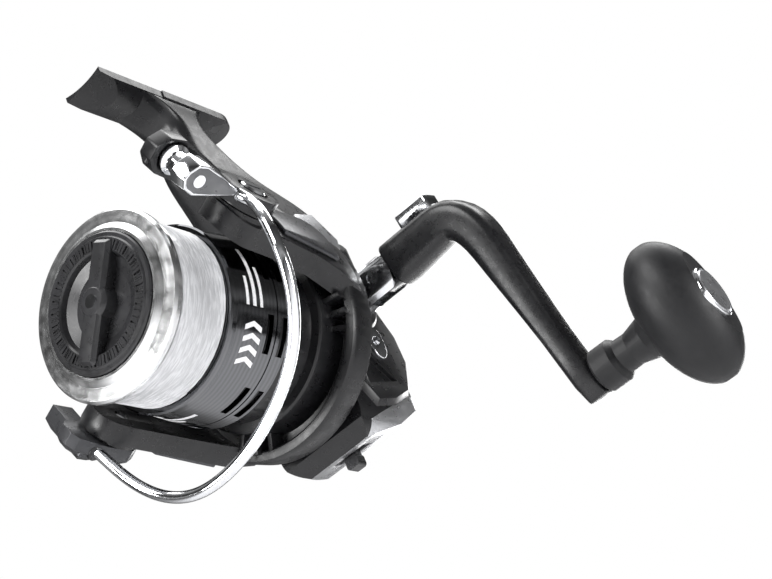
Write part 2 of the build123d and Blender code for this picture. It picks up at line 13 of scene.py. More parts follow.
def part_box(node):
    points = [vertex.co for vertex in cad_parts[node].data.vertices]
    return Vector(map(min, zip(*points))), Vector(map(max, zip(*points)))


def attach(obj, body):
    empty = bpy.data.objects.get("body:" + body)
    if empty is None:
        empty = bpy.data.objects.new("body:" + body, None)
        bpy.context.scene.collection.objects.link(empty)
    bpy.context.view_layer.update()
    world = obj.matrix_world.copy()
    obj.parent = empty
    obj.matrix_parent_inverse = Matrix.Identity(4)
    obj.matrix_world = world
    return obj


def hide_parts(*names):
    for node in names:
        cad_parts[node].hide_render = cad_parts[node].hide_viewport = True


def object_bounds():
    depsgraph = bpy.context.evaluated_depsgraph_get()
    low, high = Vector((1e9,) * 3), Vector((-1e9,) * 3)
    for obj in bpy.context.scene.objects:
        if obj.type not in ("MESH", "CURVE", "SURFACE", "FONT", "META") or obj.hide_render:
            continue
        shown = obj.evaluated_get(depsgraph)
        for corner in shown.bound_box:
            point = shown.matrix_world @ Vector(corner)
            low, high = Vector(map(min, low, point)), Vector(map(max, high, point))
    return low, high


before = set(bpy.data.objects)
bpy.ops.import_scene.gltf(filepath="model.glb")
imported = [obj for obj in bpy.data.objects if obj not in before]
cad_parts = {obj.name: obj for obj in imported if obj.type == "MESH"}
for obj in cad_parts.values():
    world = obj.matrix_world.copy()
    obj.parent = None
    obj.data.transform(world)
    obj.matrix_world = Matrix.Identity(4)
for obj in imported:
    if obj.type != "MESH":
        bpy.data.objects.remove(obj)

log = logging.getLogger("reel")

MM = 0.001
CAD_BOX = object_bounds()
CREASE = 35.0  # edges sharper than this stay sharp, in degrees
EASED_EDGE = 32.0  # edges of a CAD node sharper than this are rounded, in degrees


class Slot(Enum):
    """Material slots of the record, passed along with added pieces."""

    BODY = "body_black"
    HANDLE = "handle_black"
    SPOOL = "spool_anodised"
    LINE = "line_clear"
    CHROME = "chrome"
    STEEL = "steel"
    SILVER = "silver_paint"
    SMOKE = "smoke_metal"
    KNOB = "knob_plastic"


class Body(Enum):
    """Bodies of the reel that added pieces ride on."""

    HOUSING = "housing"
    HANDLE = "handle"
    BUTTON = "fold_button"
    KNOB = "knob"
    ROTOR = "rotor"
    BAIL = "bail"
    SPOOL = "spool"
    DRAG = "drag_knob"


# ---- places ------------------------------------------------------------------------
@dataclass(frozen=True)
class Places:
    """Reference points of the reel in the row frame, in metres."""

    axis_z: float
    lip_x: float
    drive: Vector
    knob: Vector
    arm_azimuth: float = math.radians(23.0)

    @classmethod
    def from_frame(cls) -> "Places":
        """Reads the axes from the CAD nodes.

        Returns:
            The reference points.
        """
        shaft = sum(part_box("main_shaft"), Vector()) / 2
        lip_bulge = 1.7 * MM
        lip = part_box("spool_lip")[1].x - lip_bulge
        drive = sum(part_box("drive_shaft"), Vector()) / 2
        knob = sum(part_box("knob_cap"), Vector()) / 2
        return cls(shaft.z, lip, drive, knob)

    def spool(self, x: float, radius: float, azimuth: float) -> Vector:
        """Point on the spool's side.

        Args:
            x: Distance ahead of the lip, in metres.
            radius: Distance from the spool axis, in metres.
            azimuth: Angle from +Y towards +Z, in radians.

        Returns:
            The point in the row frame.
        """
        return Vector(
            (self.lip_x + x, radius * math.cos(azimuth), self.axis_z + radius * math.sin(azimuth))
        )

    def arm_matrix(self) -> Matrix:
        """Frame of the roller's arm: Z outward, X forward, origin on the spool axis."""
        turn = Matrix.Rotation(self.arm_azimuth - math.pi / 2, 4, "X")
        return Matrix.Translation((self.lip_x, 0, self.axis_z)) @ turn

    def crank_matrix(self) -> Matrix:
        """Frame of the crank: -Z along its arm, Y outward, origin on the drive axis."""
        arm = self.knob - self.drive
        tilt = math.atan2(-arm.x, -arm.z)
        return Matrix.Translation((self.drive.x, 0, self.drive.z)) @ Matrix.Rotation(tilt, 4, "Y")


# ---- finishes ----------------------------------------------------------------------
class Shader:
    """A material under construction, with short calls for its nodes."""

    def __init__(self, name: str) -> None:
        """Starts an empty material with a principled shader."""
        self.material = bpy.data.materials.new(name)
        self.material.use_nodes = True
        self.tree = self.material.node_tree
        self.shader = self.tree.nodes["Principled BSDF"]
        self.coords = self.node("ShaderNodeTexCoord").outputs["Object"]

    def node(self, kind: str, **settings: object) -> bpy.types.Node:
        """Adds a node.

        Args:
            kind: The node's type.
            settings: Its properties.

        Returns:
            The node.
        """
        made = self.tree.nodes.new(kind)
        for key, value in settings.items():
            setattr(made, key, value)
        return made

    def link(self, start: bpy.types.NodeSocket, end: bpy.types.NodeSocket) -> None:
        """Joins two sockets."""
        self.tree.links.new(start, end)

    def noise(
        self, size: float, detail: float = 3.0, stretch: tuple = (1, 1, 1)
    ) -> bpy.types.NodeSocket:
        """Noise in object space.

        Args:
            size: Size of its blobs, in metres.
            detail: Octaves.
            stretch: Scale along each axis.

        Returns:
            The noise's value socket.
        """
        mapping = self.node("ShaderNodeMapping")
        mapping.inputs["Scale"].default_value = stretch
        self.link(self.coords, mapping.inputs["Vector"])
        noise = self.node("ShaderNodeTexNoise")
        noise.inputs["Scale"].default_value = 1.0 / size
        noise.inputs["Detail"].default_value = detail
        self.link(mapping.outputs["Vector"], noise.inputs["Vector"])
        return noise.outputs["Fac"]

    def rings(
        self, pitch: float, centre: Vector, direction: str, bands: bool = False
    ) -> bpy.types.NodeSocket:
        """Turning marks round an axis.

        Args:
            pitch: Distance between marks, in metres.
            centre: A point on the axis.
            direction: The axis, X, Y or Z.
            bands: Marks spaced along the axis, not outward from it.

        Returns:
            The pattern's value socket.
        """
        mapping = self.node("ShaderNodeMapping")
        mapping.inputs["Location"].default_value = -centre
        self.link(self.coords, mapping.inputs["Vector"])
        wave = self.node("ShaderNodeTexWave")
        if bands:
            wave.wave_type = "BANDS"
            wave.bands_direction = direction
        else:
            wave.wave_type = "RINGS"
            wave.rings_direction = direction
        wave.inputs["Scale"].default_value = 2 * math.pi / (20 * pitch)
        wave.inputs["Distortion"].default_value = 0.6
        wave.inputs["Detail"].default_value = 1.0
        wave.inputs["Detail Scale"].default_value = 2.0
        self.link(mapping.outputs["Vector"], wave.inputs["Vector"])
        return wave.outputs["Fac"]

    def ramp(self, value: bpy.types.NodeSocket, stops: list) -> bpy.types.NodeSocket:
        """Colour ramp.

        Args:
            value: The socket it reads.
            stops: (position, colour) pairs.

        Returns:
            Its colour socket.
        """
        made = self.node("ShaderNodeValToRGB")
        ramp = made.color_ramp
        while len(ramp.elements) < len(stops):
            ramp.elements.new(0.5)
        for element, (position, colour) in zip(ramp.elements, stops):
            element.position = position
            element.color = (*colour, 1.0)
        self.link(value, made.inputs["Fac"])
        return made.outputs["Color"]

    def spread(self, value: bpy.types.NodeSocket, low: float, high: float) -> bpy.types.NodeSocket:
        """Maps a 0.3 to 0.7 pattern to a range.

        Args:
            value: The pattern.
            low: Result at the pattern's low end.
            high: Result at its high end.

        Returns:
            The mapped value socket.
        """
        made = self.node("ShaderNodeMapRange")
        made.inputs["From Min"].default_value = 0.3
        made.inputs["From Max"].default_value = 0.7
        made.inputs["To Min"].default_value = low
        made.inputs["To Max"].default_value = high
        self.link(value, made.inputs["Value"])
        return made.outputs["Result"]

    def bump(self, height: bpy.types.NodeSocket, depth: float, strength: float = 1.0) -> None:
        """Adds a bump to the shader, on top of any earlier one.

        Args:
            height: The height pattern.
            depth: Its depth, in metres.
            strength: How much of it shows.
        """
        made = self.node("ShaderNodeBump")
        made.inputs["Distance"].default_value = depth
        made.inputs["Strength"].default_value = strength
        self.link(height, made.inputs["Height"])
        normal = self.shader.inputs["Normal"]
        if normal.is_linked:
            self.link(normal.links[0].from_socket, made.inputs["Normal"])
        self.link(made.outputs["Normal"], normal)

    def set(self, **values: object) -> None:
        """Sets constant shader inputs, named with underscores for spaces."""
        for key, value in values.items():
            self.shader.inputs[key.replace("_", " ")].default_value = value


@dataclass(frozen=True)
class SatinPaint:
    """Sprayed satin paint on cast metal or moulded plastic."""

    name: str
    dark: tuple
    pale: tuple
    roughness: float = 0.36
    grain: float = 0.6 * MM
    grain_depth: float = 0.006 * MM
    metallic: float = 0.0
    coat: float = 0.0
    gloss: float = 0.42

    def material(self) -> bpy.types.Material:
        """Builds the paint.

        Returns:
            The material.
        """
        made = Shader(self.name)
        cloud = made.noise(9 * MM, 4)
        colour = made.ramp(cloud, [(0.35, self.dark), (0.7, self.pale)])
        made.link(colour, made.shader.inputs["Base Color"])
        rough = made.spread(made.noise(2.2 * MM, 5), self.roughness - 0.05, self.roughness + 0.06)
        made.link(rough, made.shader.inputs["Roughness"])
        made.bump(made.noise(self.grain, 2), self.grain_depth, 0.5)
        made.set(Metallic=self.metallic, Specular_IOR_Level=self.gloss)
        made.set(Coat_Weight=self.coat, Coat_Roughness=0.18)
        return made.material


@dataclass(frozen=True)
class SoftGrip:
    """Soft-touch moulding, matt with a faint sheen and a fine pebble."""

    name: str
    dark: tuple = (0.007, 0.007, 0.008)
    pale: tuple = (0.012, 0.012, 0.013)

    def material(self) -> bpy.types.Material:
        """Builds the moulding.

        Returns:
            The material.
        """
        made = Shader(self.name)
        colour = made.ramp(made.noise(6 * MM, 3), [(0.3, self.dark), (0.75, self.pale)])
        made.link(colour, made.shader.inputs["Base Color"])
        made.link(made.spread(made.noise(1.5 * MM, 4), 0.40, 0.5), made.shader.inputs["Roughness"])
        made.bump(made.noise(0.6 * MM, 3), 0.012 * MM, 0.5)
        made.set(Specular_IOR_Level=0.35, Sheen_Weight=0.05, Sheen_Roughness=0.4)
        return made.material


@dataclass(frozen=True)
class PolishedMetal:
    """Plated or polished metal with faint smears and hairlines."""

    name: str
    colour: tuple = (0.80, 0.81, 0.83)
    low: float = 0.05
    high: float = 0.13

    def material(self) -> bpy.types.Material:
        """Builds the metal.

        Returns:
            The material.
        """
        made = Shader(self.name)
        dull = tuple(c * 0.9 for c in self.colour)
        colour = made.ramp(made.noise(5 * MM, 4), [(0.35, dull), (0.65, self.colour)])
        made.link(colour, made.shader.inputs["Base Color"])
        smear = made.spread(made.noise(1.8 * MM, 5), self.low, self.high)
        made.link(smear, made.shader.inputs["Roughness"])
        made.bump(made.noise(0.25 * MM, 2, (0.12, 1, 1)), 0.0015 * MM, 0.5)
        made.set(Metallic=1.0)
        return made.material


@dataclass(frozen=True)
class TurnedMetal:
    """Lathe-turned metal with marks round an axis."""

    name: str
    centre: Vector
    colour: tuple
    axis: str = "X"
    pitch: float = 0.28 * MM
    depth: float = 0.006 * MM
    roughness: float = 0.2
    bands: bool = False

    def material(self) -> bpy.types.Material:
        """Builds the metal.

        Returns:
            The material.
        """
        made = Shader(self.name)
        marks = made.rings(self.pitch, self.centre, self.axis, self.bands)
        wide = made.rings(self.pitch * 6.3, self.centre, self.axis, self.bands)
        dull = tuple(c * 0.8 for c in self.colour)
        colour = made.ramp(wide, [(0.1, dull), (0.9, self.colour)])
        made.link(colour, made.shader.inputs["Base Color"])
        rough = made.spread(made.noise(3 * MM, 3), self.roughness - 0.04, self.roughness + 0.06)
        made.link(rough, made.shader.inputs["Roughness"])
        made.bump(marks, self.depth, 0.8)
        made.set(Metallic=1.0)
        return made.material


@dataclass(frozen=True)
class NylonLine:
    """Clear nylon line, wound close."""

    name: str

    def material(self) -> bpy.types.Material:
        """Builds the nylon.

        Returns:
            The material.
        """
        made = Shader(self.name)
        streak = made.noise(0.5 * MM, 3, (1.0, 0.12, 0.12))
        colour = made.ramp(streak, [(0.3, (0.46, 0.465, 0.48)), (0.7, (0.72, 0.725, 0.74))])
        made.link(colour, made.shader.inputs["Base Color"])
        made.link(made.spread(streak, 0.18, 0.34), made.shader.inputs["Roughness"])
        made.set(Specular_IOR_Level=0.7, Coat_Weight=0.4, Coat_Roughness=0.1)
        return made.material


@dataclass(frozen=True)
class Ink:
    """Pad-printed ink."""

    name: str
    colour: tuple = (0.82, 0.82, 0.83)

    def material(self) -> bpy.types.Material:
        """Builds the ink.

        Returns:
            The material.
        """
        made = Shader(self.name)
        thin = tuple(c * 0.8 for c in self.colour)
        colour = made.ramp(made.noise(0.5 * MM, 4), [(0.3, thin), (0.55, self.colour)])
        made.link(colour, made.shader.inputs["Base Color"])
        made.link(made.spread(made.noise(0.8 * MM, 2), 0.3, 0.45), made.shader.inputs["Roughness"])
        return made.material


class Finishes:
    """Every finish of the reel, made once."""

    def __init__(self, places: Places) -> None:
        """Builds the materials.

        Args:
            places: The reel's reference points.
        """
        spool_centre = Vector((0, 0, places.axis_z))
        drive_centre = Vector((places.drive.x, 0, places.drive.z))
        black = (0.007, 0.007, 0.008), (0.012, 0.012, 0.013)
        self.body = SatinPaint("body_paint", *black, 0.3).material()
        self.handle = SatinPaint("crank_paint", *black, 0.28).material()
        self.smoke = SatinPaint(
            "smoke_paint", (0.045, 0.046, 0.05), (0.07, 0.071, 0.075), 0.3, metallic=0.5
        ).material()
        self.facet = SatinPaint(
            "facet_grey", (0.12, 0.122, 0.127), (0.17, 0.172, 0.178), 0.32, metallic=0.4
        ).material()
        self.silver = SatinPaint(
            "silver_paint", (0.46, 0.465, 0.48), (0.6, 0.605, 0.62), 0.3, metallic=0.85
        ).material()
        self.knob = SatinPaint(
            "knob_moulding", (0.014, 0.014, 0.015), (0.022, 0.022, 0.024), 0.3, coat=0.25
        ).material()
        self.grip = SoftGrip("grip_moulding").material()
        self.chrome = PolishedMetal("chrome_plate").material()
        self.steel = PolishedMetal("ground_steel", (0.55, 0.56, 0.58), 0.2, 0.34).material()
        self.brass = PolishedMetal("cut_brass", (0.72, 0.55, 0.26), 0.2, 0.35).material()
        self.bronze = PolishedMetal("sleeve_bronze", (0.55, 0.36, 0.22), 0.35, 0.5).material()
        self.zinc = PolishedMetal("cast_zinc", (0.45, 0.46, 0.48), 0.35, 0.5).material()
        self.lip = TurnedMetal("lip_turned", spool_centre, (0.90, 0.905, 0.91), pitch=0.32 * MM).material()
        self.skirt = TurnedMetal(
            "skirt_anodised", spool_centre, (0.17, 0.172, 0.18), pitch=0.22 * MM, depth=0.0015 * MM,
            roughness=0.12, bands=True,
        ).material()
        self.collar = TurnedMetal(
            "collar_turned", drive_centre, (0.82, 0.83, 0.85), "Y", 0.3 * MM, 0.002 * MM, 0.12
        ).material()
        self.line = NylonLine("nylon_line").material()
        self.ink = Ink("skirt_ink").material()
        self.felt = SoftGrip("drag_felt", (0.2, 0.19, 0.17), (0.35, 0.33, 0.3)).material()


# ---- mesh helpers ------------------------------------------------------------------
def paint(material: bpy.types.Material, *nodes: str) -> None:
    """Gives CAD nodes their finish.

    Args:
        material: The finish.
        nodes: The nodes.
    """
    for node in nodes:
        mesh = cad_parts[node].data
        mesh.materials.clear()
        mesh.materials.append(material)


def mesh_of(work: bmesh.types.BMesh, name: str, material: bpy.types.Material) -> bpy.types.Mesh:
    """Turns finished bmesh work into a mesh with one finish.

    Args:
        work: The work, which is freed.
        name: The mesh's name.
        material: Its finish.

    Returns:
        The mesh.
    """
    mesh = bpy.data.meshes.new(name)
    work.to_mesh(mesh)
    work.free()
    mesh.materials.append(material)
    return mesh


def finish_piece(
    piece: bpy.types.Object, body: Body, slot: Slot, *stands_for: str
) -> bpy.types.Object:
    """Hands a finished piece to the frame.

    Args:
        piece: The piece, with its place in its mesh.
        body: The body it rides on.
        slot: The record's slot; not used.
        stands_for: CAD nodes it replaces.

    Returns:
        The piece.
    """
    if stands_for:
        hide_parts(*stands_for)
    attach(piece, body.value)
    log.info("%s: %d faces on %s", piece.name, len(piece.data.polygons), body.value)
    return piece


def new_object(name: str, mesh: bpy.types.Mesh) -> bpy.types.Object:
    """Links a mesh to the scene as an object at the origin."""
    made = bpy.data.objects.new(name, mesh)
    bpy.context.scene.collection.objects.link(made)
    return made


def settled(
    carrier: bpy.types.Object, name: str, place: Matrix, crease: float = CREASE
) -> bpy.types.Object:
    """Turns an object with live modifiers into a plain, placed piece.

    Args:
        carrier: The object, which is removed.
        name: The piece's name.
        place: Where the mesh goes.
        crease: Edges sharper than this stay sharp, in degrees.

    Returns:
        The piece.
    """
    graph = bpy.context.evaluated_depsgraph_get()
    mesh = bpy.data.meshes.new_from_object(carrier.evaluated_get(graph))
    mesh.name = name
    bpy.data.objects.remove(carrier)
    mesh.transform(place)
    mesh.shade_smooth()
    mesh.set_sharp_from_angle(angle=math.radians(crease))
    return new_object(name, mesh)


def eased(
    node: str, name: str, width: float, material: bpy.types.Material, body: Body, slot: Slot
) -> bpy.types.Object:
    """Copy of a CAD node with its hard edges rounded, which stands for it.

    Args:
        node: The CAD node.
        name: The piece's name.
        width: Width of the rounding, in metres.
        material: Its finish.
        body: The body it rides on.
        slot: The record's slot.

    Returns:
        The piece.
    """
    work = bmesh.new()
    work.from_mesh(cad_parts[node].data)
    bmesh.ops.remove_doubles(work, verts=work.verts, dist=0.002 * MM)
    bmesh.ops.dissolve_limit(
        work, angle_limit=math.radians(1.0), verts=work.verts, edges=work.edges, delimit={"NORMAL"}
    )
    carrier = new_object(name + "_work", mesh_of(work, name, material))
    bevel = carrier.modifiers.new("round", "BEVEL")
    bevel.width = width
    bevel.segments = 3
    bevel.limit_method = "ANGLE"
    bevel.angle_limit = math.radians(EASED_EDGE)
    bevel.use_clamp_overlap = True
    bevel.miter_outer = "MITER_ARC"
    piece = settled(carrier, name, Matrix.Identity(4), 40.0)
    return finish_piece(piece, body, slot, node)


def spun(
    name: str, profile: list, steps: int, place: Matrix, material: bpy.types.Material
) -> bpy.types.Object:
    """Solid of revolution about the local X axis.

    Args:
        name: The piece's name.
        profile: Closed outline of (x, r) points in metres, none on the axis.
        steps: Segments round the axis.
        place: Where the mesh goes.
        material: Its finish.

    Returns:
        The piece.
    """
    count = len(profile)
    verts = []
    for k in range(steps):
        turn = 2 * math.pi * k / steps
        verts += [(x, r * math.cos(turn), r * math.sin(turn)) for x, r in profile]
    faces = []
    for k in range(steps):
        for i in range(count):
            a = k * count + i
            b = k * count + (i + 1) % count
            shift = ((k + 1) % steps - k) * count
            faces.append((a, b, b + shift, a + shift))
    rough = bpy.data.meshes.new(name + "_work")
    rough.from_pydata(verts, [], faces)
    work = bmesh.new()
    work.from_mesh(rough)
    bpy.data.meshes.remove(rough)
    bmesh.ops.recalc_face_normals(work, faces=work.faces)
    mesh = mesh_of(work, name, material)
    mesh.transform(place)
    mesh.shade_smooth()
    mesh.set_sharp_from_angle(angle=math.radians(CREASE))
    return new_object(name, mesh)


# ---- geometry node trees -----------------------------------------------------------
class Tree:
    """A geometry node tree with named inputs, built node by node."""

    def __init__(self, name: str) -> None:
        """Starts a tree with a geometry output."""
        self.group = bpy.data.node_groups.new(name, "GeometryNodeTree")
        self.group.interface.new_socket("Geometry", in_out="OUTPUT", socket_type="NodeSocketGeometry")
        self.group.interface.new_socket("Geometry", in_out="INPUT", socket_type="NodeSocketGeometry")
        self.entry = self.node("NodeGroupInput")
        self.exit = self.node("NodeGroupOutput")
        self.values: dict = {}

    def node(self, kind: str, **settings: object) -> bpy.types.Node:
        """Adds a node.

        Args:
            kind: The node's type.
            settings: Its properties.

        Returns:
            The node.
        """
        made = self.group.nodes.new(kind)
        for key, value in settings.items():
            setattr(made, key, value)
        return made

    def link(self, start: bpy.types.NodeSocket, end: bpy.types.NodeSocket) -> None:
        """Joins two sockets."""
        self.group.links.new(start, end)

    def size(self, name: str, value: object, kind: str = "NodeSocketFloat") -> bpy.types.NodeSocket:
        """Adds a named input.

        Args:
            name: Its name.
            value: The value this piece uses.
            kind: Its socket type.

        Returns:
            The input's socket inside the tree.
        """
        item = self.group.interface.new_socket(name, in_out="INPUT", socket_type=kind)
        self.values[item.identifier] = value
        return self.entry.outputs[name]

    def close(self, geometry: bpy.types.NodeSocket, material: bpy.types.Material) -> None:
        """Ends the tree with real geometry in one finish."""
        real = self.node("GeometryNodeRealizeInstances")
        coat = self.node("GeometryNodeSetMaterial")
        coat.inputs["Material"].default_value = material
        self.link(geometry, real.inputs["Geometry"])
        self.link(real.outputs["Geometry"], coat.inputs["Geometry"])
        self.link(coat.outputs["Geometry"], self.exit.inputs["Geometry"])

    def piece(self, name: str, place: Matrix, points: list | None = None) -> bpy.types.Object:
        """Runs the tree and keeps its result as a plain piece.

        Args:
            name: The piece's name.
            place: Where the mesh goes.
            points: Points that the tree works on, where it has any.

        Returns:
            The piece.
        """
        mesh = bpy.data.meshes.new(name + "_points")
        mesh.from_pydata([tuple(p) for p in points or []], [], [])
        carrier = new_object(name + "_work", mesh)
        made = carrier.modifiers.new("tree", "NODES")
        made.node_group = self.group
        for identifier, value in self.values.items():
            made[identifier] = value
        return settled(carrier, name, place)


def coil_tree(radius: float, pitch: float, turns: float, thick: float, sides: int,
              material: bpy.types.Material) -> Tree:
    """Tree of one round strand wound as a helix about Z.

    Args:
        radius: Radius of the strand's middle.
        pitch: Rise of a turn.
        turns: Number of turns.
        thick: Radius of the strand.
        sides: Sides of the strand.
        material: Its finish.

    Returns:
        The tree.
    """
    tree = Tree("wound_strand")
    spiral = tree.node("GeometryNodeCurveSpiral")
    spiral.inputs["Resolution"].default_value = 48
    tree.link(tree.size("Turns", turns), spiral.inputs["Rotations"])
    tree.link(tree.size("Radius", radius), spiral.inputs["Start Radius"])
    tree.link(tree.entry.outputs["Radius"], spiral.inputs["End Radius"])
    tree.link(tree.size("Height", pitch * turns), spiral.inputs["Height"])
    profile = tree.node("GeometryNodeCurvePrimitiveCircle")
    profile.inputs["Resolution"].default_value = sides
    tree.link(tree.size("Strand radius", thick), profile.inputs["Radius"])
    sweep = tree.node("GeometryNodeCurveToMesh")
    sweep.inputs["Fill Caps"].default_value = True
    tree.link(spiral.outputs["Curve"], sweep.inputs["Curve"])
    tree.link(profile.outputs["Curve"], sweep.inputs["Profile Curve"])
    tree.close(sweep.outputs["Mesh"], material)
    return tree


def ring_of_blocks(count: int, radius: float, block: tuple, material: bpy.types.Material) -> Tree:
    """Tree of blocks set round a circle in the XY plane, each turned to face outward.

    Args:
        count: Number of blocks.
        radius: Radius of their middles.
        block: Size outward, across and up.
        material: Their finish.

    Returns:
        The tree.
    """
    tree = Tree("ring_of_blocks")
    circle = tree.node("GeometryNodeMeshCircle")
    tree.link(tree.size("Count", count, "NodeSocketInt"), circle.inputs["Vertices"])
    tree.link(tree.size("Radius", radius), circle.inputs["Radius"])
    cube = tree.node("GeometryNodeMeshCube")
    tree.link(tree.size("Block", block, "NodeSocketVector"), cube.inputs["Size"])
    index = tree.node("GeometryNodeInputIndex")
    share = tree.node("ShaderNodeMath", operation="DIVIDE")
    turn = tree.node("ShaderNodeMath", operation="MULTIPLY")
    turn.inputs[1].default_value = 2 * math.pi
    tree.link(index.outputs["Index"], share.inputs[0])
    tree.link(tree.entry.outputs["Count"], share.inputs[1])
    tree.link(share.outputs[0], turn.inputs[0])
    spin = tree.node("ShaderNodeCombineXYZ")
    tree.link(turn.outputs[0], spin.inputs["Z"])
    copy = tree.node("GeometryNodeInstanceOnPoints")
    tree.link(circle.outputs["Mesh"], copy.inputs["Points"])
    tree.link(cube.outputs["Mesh"], copy.inputs["Instance"])
    tree.link(spin.outputs["Vector"], copy.inputs["Rotation"])
    tree.close(copy.outputs["Instances"], material)
    return tree


def grid_of_studs(size: tuple, counts: tuple, stud: float, material: bpy.types.Material) -> Tree:
    """Tree of small round studs on a grid in the XY plane.

    Args:
        size: Length and width of the grid.
        counts: Studs along each.
        stud: Radius of a stud.
        material: Their finish.

    Returns:
        The tree.
    """
    tree = Tree("grid_of_studs")
    grid = tree.node("GeometryNodeMeshGrid")
    tree.link(tree.size("Length", size[0]), grid.inputs["Size X"])
    tree.link(tree.size("Width", size[1]), grid.inputs["Size Y"])
    tree.link(tree.size("Studs along", counts[0], "NodeSocketInt"), grid.inputs["Vertices X"])
    tree.link(tree.size("Studs across", counts[1], "NodeSocketInt"), grid.inputs["Vertices Y"])
    ball = tree.node("GeometryNodeMeshIcoSphere")
    ball.inputs["Subdivisions"].default_value = 2
    tree.link(tree.size("Stud radius", stud), ball.inputs["Radius"])
    copy = tree.node("GeometryNodeInstanceOnPoints")
    tree.link(grid.outputs["Mesh"], copy.inputs["Points"])
    tree.link(ball.outputs["Mesh"], copy.inputs["Instance"])
    tree.close(copy.outputs["Instances"], material)
    return tree


def screw_heads(radius: float, height: float, material: bpy.types.Material) -> Tree:
    """Tree that sets a cross-recess screw head, facing +Z, on each point.

    Args:
        radius: Head radius.
        height: Head height.
        material: Its finish.

    Returns:
        The tree.
    """
    tree = Tree("screw_heads")
    head = tree.node("GeometryNodeMeshCone", fill_type="NGON")
    head.inputs["Vertices"].default_value = 28
    rim = tree.size("Head radius", radius)
    tree.link(rim, head.inputs["Radius Bottom"])
    top = tree.node("ShaderNodeMath", operation="MULTIPLY")
    top.inputs[1].default_value = 0.8
    tree.link(rim, top.inputs[0])
    tree.link(top.outputs[0], head.inputs["Radius Top"])
    tall = tree.size("Head height", height)
    tree.link(tall, head.inputs["Depth"])
    cut = tree.node("GeometryNodeMeshBoolean", operation="DIFFERENCE")
    tree.link(head.outputs["Mesh"], cut.inputs["Mesh 1"])
    for axis in ("X", "Y"):
        size = tree.node("ShaderNodeCombineXYZ")
        long = tree.node("ShaderNodeMath", operation="MULTIPLY")
        long.inputs[1].default_value = 1.05
        slim = tree.node("ShaderNodeMath", operation="MULTIPLY")
        slim.inputs[1].default_value = 0.28
        tree.link(rim, long.inputs[0])
        tree.link(rim, slim.inputs[0])
        tree.link(long.outputs[0], size.inputs[axis])
        tree.link(slim.outputs[0], size.inputs["Y" if axis == "X" else "X"])
        tree.link(tall, size.inputs["Z"])
        bar = tree.node("GeometryNodeMeshCube")
        tree.link(size.outputs["Vector"], bar.inputs["Size"])
        lift = tree.node("ShaderNodeCombineXYZ")
        tree.link(tall, lift.inputs["Z"])
        move = tree.node("GeometryNodeTransform")
        tree.link(bar.outputs["Mesh"], move.inputs["Geometry"])
        tree.link(lift.outputs["Vector"], move.inputs["Translation"])
        tree.link(move.outputs["Geometry"], cut.inputs["Mesh 2"])
    copy = tree.node("GeometryNodeInstanceOnPoints")
    tree.link(tree.entry.outputs["Geometry"], copy.inputs["Points"])
    tree.link(cut.outputs["Mesh"], copy.inputs["Instance"])
    tree.close(copy.outputs["Instances"], material)
    return tree


# ---- spool -------------------------------------------------------------------------
@dataclass
class Group:
    """A sub-assembly of the reel, with the places and finishes that all of them share."""

    places: Places
    finishes: Finishes


